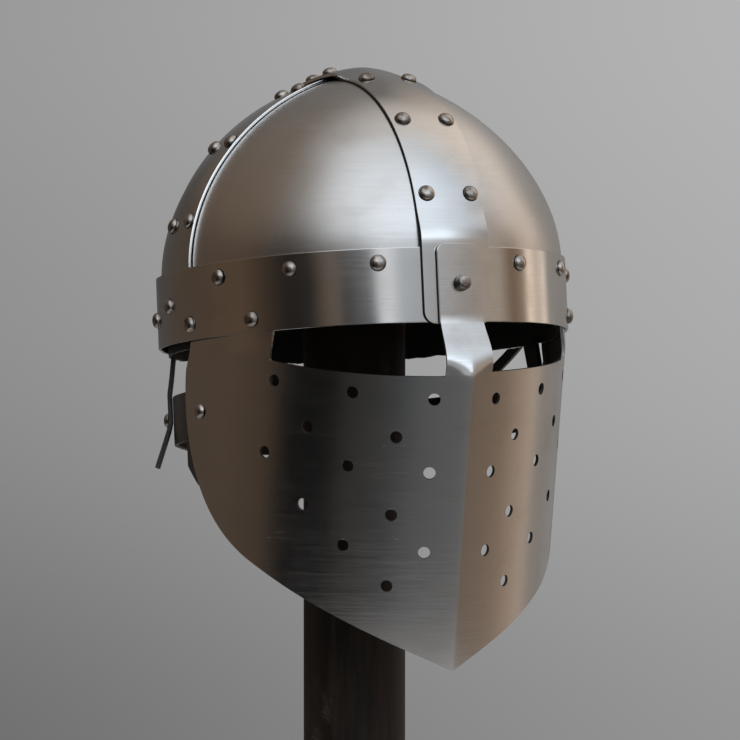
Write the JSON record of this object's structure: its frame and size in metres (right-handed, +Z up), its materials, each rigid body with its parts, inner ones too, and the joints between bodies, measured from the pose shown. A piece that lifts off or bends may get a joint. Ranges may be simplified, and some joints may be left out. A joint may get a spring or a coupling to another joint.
{
  "type": "riveted segmented norman helmet with face plate on a post stand",
  "caption": "Riveted segmented norman helmet with crossed bands, a brow band, a perforated face plate with nasal strip, and leather straps, on a steel post stand.",
  "frame": {"origin": "under the post's axis, on the surface that the stand rests on", "axes": "+Z up along the post, -Y the way the face looks, +X the wearer's left"},
  "size_m": [0.26, 0.2786, 0.446],
  "materials": {
    "skull_steel": "fine brushed, unpainted",
    "band_steel": "fine brushed, unpainted",
    "plate_steel": "brushed across, unpainted",
    "rivets": "domed, darker than the sheet",
    "lining_leather": "black, matt, ragged lower edge",
    "strap_leather": "black, smooth grain side out",
    "stand_steel": "dark rusty brown steel"
  },
  "bodies": {
    "root": {"band_rivet_back_high_left": "rivets", "band_rivet_back_high_right": "rivets", "band_rivet_back_low_left": "rivets", "band_rivet_back_low_right": "rivets", "band_rivet_back_middle_left": "rivets", "band_rivet_back_middle_right": "rivets", "band_rivet_front_high_left": "rivets", "band_rivet_front_high_right": "rivets", "band_rivet_front_low_left": "rivets", "band_rivet_front_low_right": "rivets", "band_rivet_front_middle_left": "rivets", "band_rivet_front_middle_right": "rivets", "brow_band": "band_steel", "brow_rivet_cheek_left": "rivets", "brow_rivet_cheek_right": "rivets", "brow_rivet_corner_left": "rivets", "brow_rivet_corner_right": "rivets", "brow_rivet_ear_front_left": "rivets", "brow_rivet_ear_front_right": "rivets", "brow_rivet_ear_rear_left": "rivets", "brow_rivet_ear_rear_right": "rivets", "brow_rivet_ear_top_left": "rivets", "brow_rivet_ear_top_right": "rivets", "brow_rivet_front_left": "rivets", "brow_rivet_front_right": "rivets", "brow_rivet_temple_left": "rivets", "brow_rivet_temple_right": "rivets", "chin_strap_left": "strap_leather", "chin_strap_right": "strap_leather", "crown_rivet_front_left": "rivets", "crown_rivet_front_right": "rivets", "crown_rivet_rear_left": "rivets", "crown_rivet_rear_right": "rivets", "face_plate": "plate_steel", "front_back_band": "band_steel", "hanger_back": "strap_leather", "hanger_left": "strap_leather", "hanger_right": "strap_leather", "leather_lining": "lining_leather", "nasal_stud": "rivets", "neck_strap": "strap_leather", "post_stand": "stand_steel", "side_band": "band_steel", "side_rivet_left_high_front": "rivets", "side_rivet_left_high_rear": "rivets", "side_rivet_left_low_front": "rivets", "side_rivet_left_low_rear": "rivets", "side_rivet_left_middle_front": "rivets", "side_rivet_left_middle_rear": "rivets", "side_rivet_right_high_front": "rivets", "side_rivet_right_high_rear": "rivets", "side_rivet_right_low_front": "rivets", "side_rivet_right_low_rear": "rivets", "side_rivet_right_middle_front": "rivets", "side_rivet_right_middle_rear": "rivets", "skull_plate_back_left": "skull_steel", "skull_plate_back_right": "skull_steel", "skull_plate_front_left": "skull_steel", "skull_plate_front_right": "skull_steel", "stand_cap": "stand_steel"}
  },
  "joints": []
}
